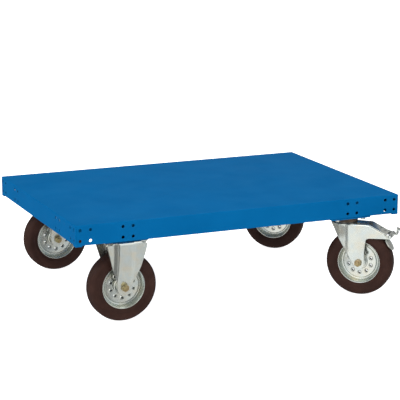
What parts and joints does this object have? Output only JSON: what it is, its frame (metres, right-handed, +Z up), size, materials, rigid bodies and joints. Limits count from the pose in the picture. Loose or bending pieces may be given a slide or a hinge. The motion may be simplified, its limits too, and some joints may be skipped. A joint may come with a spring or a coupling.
{
  "type": "platform cart",
  "caption": "Low steel platform cart: flat folded-sheet deck with drilled skirts, fixed casters at one end and braked swivel casters at the other.",
  "frame": {"origin": "centre of the deck's flat top face", "axes": "+X along the deck towards the braked swivel casters, +Y to the left-hand side, +Z up out of the deck"},
  "size_m": [1.0293, 0.7922, 0.298],
  "materials": {
    "blue_paint": "semi-gloss powder coat",
    "zinc_steel": "bright zinc plated pressed steel",
    "yellow_zinc": "yellow passivated zinc",
    "rubber": "dark brown solid rubber, matt",
    "bearing_steel": "ground steel, greased",
    "brown_seal": "brown dust seal"
  },
  "bodies": {
    "root": {"deck": "blue_paint", "deck_stiffener_right": "blue_paint", "deck_stiffener_left": "blue_paint", "fixed_caster_bearer": "blue_paint", "swivel_caster_bearer": "blue_paint", "fixed_right_bracket": "zinc_steel", "fixed_right_axle_tube": "bearing_steel", "fixed_right_axle_bolt": "yellow_zinc", "fixed_right_axle_nut": "yellow_zinc", "swivel_right_top_plate": "zinc_steel", "swivel_right_upper_race": "bearing_steel", "swivel_right_swivel_seal": "brown_seal", "swivel_right_kingpin_bolt": "zinc_steel", "swivel_right_kingpin_nut": "zinc_steel", "fixed_left_bracket": "zinc_steel", "fixed_left_axle_tube": "bearing_steel", "fixed_left_axle_bolt": "yellow_zinc", "fixed_left_axle_nut": "yellow_zinc", "swivel_left_top_plate": "zinc_steel", "swivel_left_upper_race": "bearing_steel", "swivel_left_swivel_seal": "brown_seal", "swivel_left_kingpin_bolt": "zinc_steel", "swivel_left_kingpin_nut": "zinc_steel"},
    "fixed_right_wheel": {"fixed_right_tyre": "rubber", "fixed_right_rim_outer_half": "zinc_steel", "fixed_right_rim_inner_half": "zinc_steel", "fixed_right_hub_tube": "zinc_steel", "fixed_right_bearing_sleeve": "bearing_steel"},
    "swivel_right_turntable": {"swivel_right_lower_race": "bearing_steel", "swivel_right_ball_race": "bearing_steel", "swivel_right_fork": "zinc_steel", "swivel_right_brake_pin": "zinc_steel", "swivel_right_axle_tube": "bearing_steel", "swivel_right_axle_bolt": "yellow_zinc", "swivel_right_axle_nut": "yellow_zinc"},
    "swivel_right_wheel": {"swivel_right_tyre": "rubber", "swivel_right_rim_outer_half": "zinc_steel", "swivel_right_rim_inner_half": "zinc_steel", "swivel_right_hub_tube": "zinc_steel", "swivel_right_bearing_sleeve": "bearing_steel"},
    "swivel_right_pedal": {"swivel_right_brake_pedal": "zinc_steel"},
    "fixed_left_wheel": {"fixed_left_tyre": "rubber", "fixed_left_rim_outer_half": "zinc_steel", "fixed_left_rim_inner_half": "zinc_steel", "fixed_left_hub_tube": "zinc_steel", "fixed_left_bearing_sleeve": "bearing_steel"},
    "swivel_left_turntable": {"swivel_left_lower_race": "bearing_steel", "swivel_left_ball_race": "bearing_steel", "swivel_left_fork": "zinc_steel", "swivel_left_brake_pin": "zinc_steel", "swivel_left_axle_tube": "bearing_steel", "swivel_left_axle_bolt": "yellow_zinc", "swivel_left_axle_nut": "yellow_zinc"},
    "swivel_left_wheel": {"swivel_left_tyre": "rubber", "swivel_left_rim_outer_half": "zinc_steel", "swivel_left_rim_inner_half": "zinc_steel", "swivel_left_hub_tube": "zinc_steel", "swivel_left_bearing_sleeve": "bearing_steel"},
    "swivel_left_pedal": {"swivel_left_brake_pedal": "zinc_steel"}
  },
  "joints": [
    {"name": "fixed_right_wheel_roll", "type": "hinge", "parent": "root", "child": "fixed_right_wheel", "pos_m": [-0.3525, -0.294, -0.198], "axis": [0, 1, 0], "continuous": true},
    {"name": "swivel_right_swivel", "type": "hinge", "parent": "root", "child": "swivel_right_turntable", "pos_m": [0.3605, -0.292, -0.078], "axis": [0, 0, 1], "continuous": true},
    {"name": "swivel_right_wheel_roll", "type": "hinge", "parent": "swivel_right_turntable", "child": "swivel_right_wheel", "pos_m": [0.39617, -0.32412, -0.198], "axis": [0.6691, 0.7431, 0], "continuous": true},
    {"name": "swivel_right_brake_press", "type": "hinge", "parent": "swivel_right_turntable", "child": "swivel_right_pedal", "pos_m": [0.46454, -0.38568, -0.112], "axis": [0.6691, 0.7431, 0], "range_deg": [0, 6.4]},
    {"name": "fixed_left_wheel_roll", "type": "hinge", "parent": "root", "child": "fixed_left_wheel", "pos_m": [-0.3525, 0.294, -0.198], "axis": [0, 1, 0], "continuous": true},
    {"name": "swivel_left_swivel", "type": "hinge", "parent": "root", "child": "swivel_left_turntable", "pos_m": [0.3605, 0.292, -0.078], "axis": [0, 0, 1], "continuous": true},
    {"name": "swivel_left_wheel_roll", "type": "hinge", "parent": "swivel_left_turntable", "child": "swivel_left_wheel", "pos_m": [0.39617, 0.25988, -0.198], "axis": [0.6691, 0.7431, 0], "continuous": true},
    {"name": "swivel_left_brake_press", "type": "hinge", "parent": "swivel_left_turntable", "child": "swivel_left_pedal", "pos_m": [0.46454, 0.19832, -0.112], "axis": [0.6691, 0.7431, 0], "range_deg": [0, 6.4]}
  ]
}
